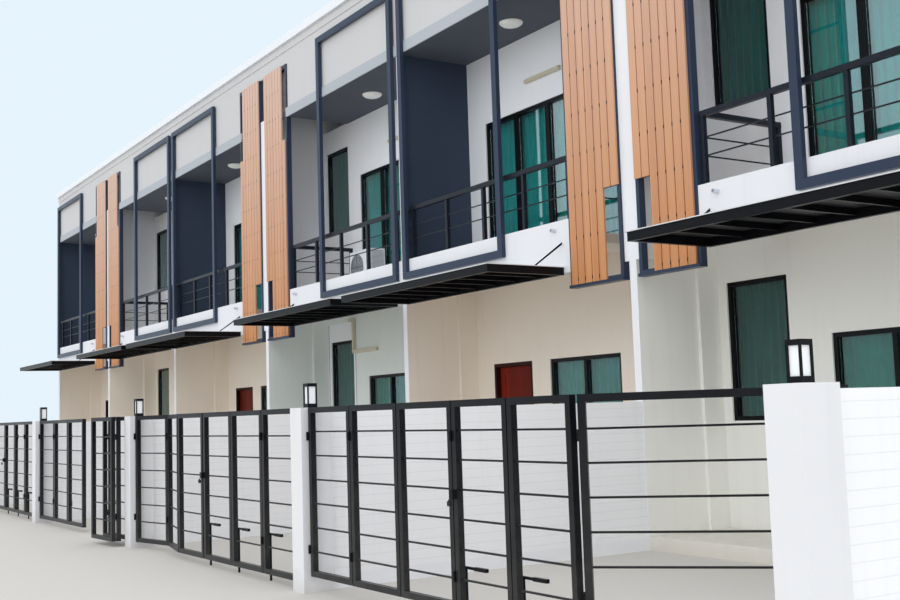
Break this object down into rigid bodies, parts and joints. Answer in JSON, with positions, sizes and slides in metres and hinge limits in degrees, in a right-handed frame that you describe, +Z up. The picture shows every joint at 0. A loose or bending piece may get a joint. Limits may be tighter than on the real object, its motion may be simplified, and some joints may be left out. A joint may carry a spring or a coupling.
{
  "type": "terraced house row",
  "caption": "Row of two-storey terraced houses in mirrored pairs, with balconies, slatted panels, canopies, yard walls and folding front gates.",
  "frame": {"origin": "middle of the row's ground footprint, at ground level", "axes": "+X along the row to the right seen from the street, +Y from the street towards the back, +Z up"},
  "size_m": [30.855, 14.3864, 8.4],
  "materials": {
    "concrete": "float finished concrete",
    "render_white": "painted smooth render",
    "render_grey": "painted smooth render",
    "render_beige": "painted smooth render",
    "band_grey": "painted smooth render",
    "dark_board": "painted flat board",
    "white_board": "painted flat board",
    "roof_metal": "ribbed coated sheet",
    "white_metal": "satin paint",
    "dark_steel": "satin paint on steel tube",
    "orange_board": "stained boards",
    "canopy_sheet": "flat sheet",
    "white_plastic": "smooth",
    "black_aluminium": "black powder coat",
    "clear_glass": "clear",
    "door_wood": "stained and varnished",
    "door_iron": "brushed",
    "curtain_cloth": "woven",
    "opal_plastic": "opal"
  },
  "bodies": {
    "row": {"balcony_ceilings": "dark_board", "balcony_kerbs": "render_white", "balcony_railings": "dark_steel", "canopy_covers": "canopy_sheet", "canopy_frames": "dark_steel", "canopy_stays": "dark_steel", "ceiling_bands": "band_grey", "ceiling_lamps": "opal_plastic", "curtains": "curtain_cloth", "drain_spouts": "white_plastic", "end_return_wall": "render_white", "fixed_door_frames": "door_wood", "fixed_door_ironwork": "door_iron", "fixed_doors": "door_wood", "folding_gates": "dark_steel", "gate_hardware": "dark_steel", "gate_posts": "render_white", "ground_slab": "concrete", "lantern_frames": "dark_steel", "lantern_glass": "opal_plastic", "opening_door_frames": "door_wood", "outdoor_unit": "white_metal", "party_walls": "render_white", "pipe_cover": "opal_plastic", "porch_walls_beside_doors": "render_grey", "porch_walls_over_doors": "render_grey", "porch_walls_with_windows": "render_grey", "portal_frames": "dark_steel", "railing_returns": "dark_steel", "rear_walls": "render_beige", "roof_edge": "white_metal", "roof_sheeting": "roof_metal", "room_ceilings": "white_board", "slat_boards": "orange_board", "slat_frames": "dark_steel", "sliding_door_frames": "black_aluminium", "sliding_door_glass": "clear_glass", "tube_lights": "opal_plastic", "upper_floors": "concrete", "upper_front_walls": "render_grey", "upper_wall": "render_beige", "window_frames": "black_aluminium", "window_glass": "clear_glass", "yard_walls": "render_white"},
    "house_3_entrance_door": {"house_3_door": "door_wood", "house_3_door_ironwork": "door_iron"},
    "house_5_entrance_door": {"house_5_door": "door_wood", "house_5_door_ironwork": "door_iron"}
  },
  "joints": [
    {"name": "house_3_door_hinge", "type": "hinge", "parent": "row", "child": "house_3_entrance_door", "pos_m": [-4.74, -1.54477, 1.2], "axis": [0, 0, 1], "range_deg": [0, 90]},
    {"name": "house_5_door_hinge", "type": "hinge", "parent": "row", "child": "house_5_entrance_door", "pos_m": [5.26, -1.54477, 1.2], "axis": [0, 0, 1], "range_deg": [0, 90]}
  ]
}
